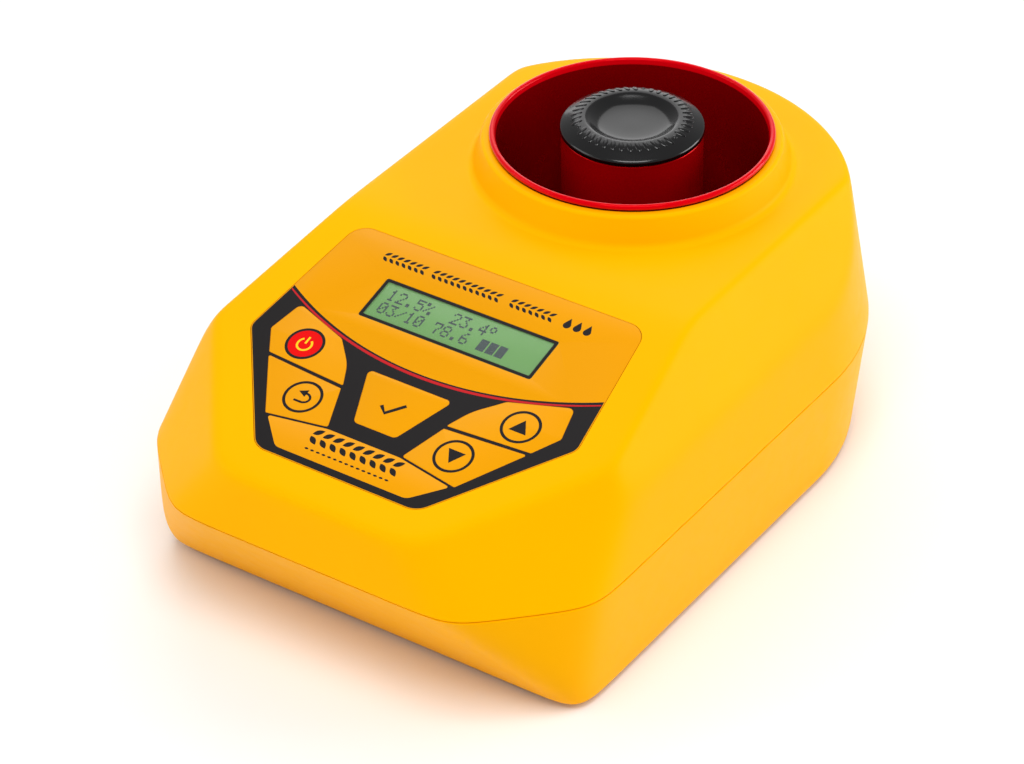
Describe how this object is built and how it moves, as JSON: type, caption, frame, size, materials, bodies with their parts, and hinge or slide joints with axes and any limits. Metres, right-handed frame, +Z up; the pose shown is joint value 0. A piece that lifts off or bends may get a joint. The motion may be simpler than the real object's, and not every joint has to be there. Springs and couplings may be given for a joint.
{
  "type": "grain moisture meter",
  "caption": "Desktop grain moisture meter: yellow two-part housing, tilted panel with display and membrane keys, round measuring cup with a centre post.",
  "frame": {"origin": "middle of the footprint box, on the surface that the feet stand on", "axes": "+X to the right of a user who faces the control panel, +Y from the panel to the measuring cup, +Z up"},
  "size_m": [0.173, 0.263, 0.1122],
  "materials": {
    "housing_yellow": "soft satin moulded ABS",
    "overlay_film": "satin printed polyester film",
    "power_key_film": "satin printed polyester film with a red key",
    "cell_red": "glossy red coating",
    "cap_black": "polished black moulding",
    "insulating_plastic": "fine matt moulding",
    "foot_rubber": "matt rubber",
    "steel": "plain zinc-plated steel",
    "contact_strip": "nickel-plated spring strip",
    "cell_wrap": "printed sleeve over a metal can",
    "circuit_board": "solder mask over glass laminate",
    "chip_plastic": "matt moulding compound",
    "window_clear": "clear film window",
    "display_green": "smooth green liquid-crystal glass",
    "bezel_black": "black lacquered frame",
    "ribbon_grey": "grey ribbon cable"
  },
  "bodies": {
    "housing": {"panel_overlay": "overlay_film", "power_dome": "steel", "cancel_dome": "steel", "ok_dome": "steel", "up_dome": "steel", "down_dome": "steel", "switch_board": "circuit_board", "lcd_window": "window_clear", "lcd_glass": "display_green", "lcd_bezel": "bezel_black", "lcd_board": "circuit_board", "lcd_screw_1": "steel", "lcd_screw_2": "steel", "lcd_screw_3": "steel", "lcd_screw_4": "steel", "top_cover": "housing_yellow", "base": "housing_yellow", "main_board": "circuit_board", "board_screw_1": "steel", "board_screw_2": "steel", "board_screw_3": "steel", "board_screw_4": "steel", "processor": "chip_plastic", "buzzer": "chip_plastic", "lcd_ribbon": "ribbon_grey", "switch_ribbon": "ribbon_grey", "measuring_cup": "cell_red", "cup_insulator": "insulating_plastic", "centre_post": "cell_red", "post_cap": "cap_black", "post_bolt": "steel", "temperature_probe": "steel", "cup_screw_1": "steel", "cup_screw_2": "steel", "cup_screw_3": "steel", "battery_holder": "insulating_plastic", "battery_1": "cell_wrap", "battery_2": "cell_wrap", "battery_3": "cell_wrap", "battery_4": "cell_wrap", "battery_contact_front_left": "contact_strip", "battery_contact_front_right": "contact_strip", "battery_contact_rear_left": "contact_strip", "battery_contact_rear_right": "contact_strip", "foot_front_right": "foot_rubber", "foot_front_left": "foot_rubber", "foot_rear_right": "foot_rubber", "foot_rear_left": "foot_rubber", "housing_screw_1": "steel", "housing_screw_2": "steel", "housing_screw_3": "steel", "housing_screw_4": "steel"},
    "power_key": {"power_key": "power_key_film"},
    "cancel_key": {"cancel_key": "overlay_film"},
    "ok_key": {"ok_key": "overlay_film"},
    "up_key": {"up_key": "overlay_film"},
    "down_key": {"down_key": "overlay_film"},
    "battery_door": {"battery_door": "housing_yellow"}
  },
  "joints": [
    {"name": "power_press", "type": "slide", "parent": "housing", "child": "power_key", "axis": [0, 0.2538, -0.9673], "range_m": [0, 0.0004], "stiffness_N_per_m": 7500},
    {"name": "cancel_press", "type": "slide", "parent": "housing", "child": "cancel_key", "axis": [0, 0.2538, -0.9673], "range_m": [0, 0.0004], "stiffness_N_per_m": 7500},
    {"name": "ok_press", "type": "slide", "parent": "housing", "child": "ok_key", "axis": [0, 0.2538, -0.9673], "range_m": [0, 0.0004], "stiffness_N_per_m": 7500},
    {"name": "up_press", "type": "slide", "parent": "housing", "child": "up_key", "axis": [0, 0.2538, -0.9673], "range_m": [0, 0.0004], "stiffness_N_per_m": 7500},
    {"name": "down_press", "type": "slide", "parent": "housing", "child": "down_key", "axis": [0, 0.2538, -0.9673], "range_m": [0, 0.0004], "stiffness_N_per_m": 7500},
    {"name": "battery_door_slide", "type": "slide", "parent": "housing", "child": "battery_door", "axis": [0, 1, 0], "range_m": [0, 0.01]}
  ]
}
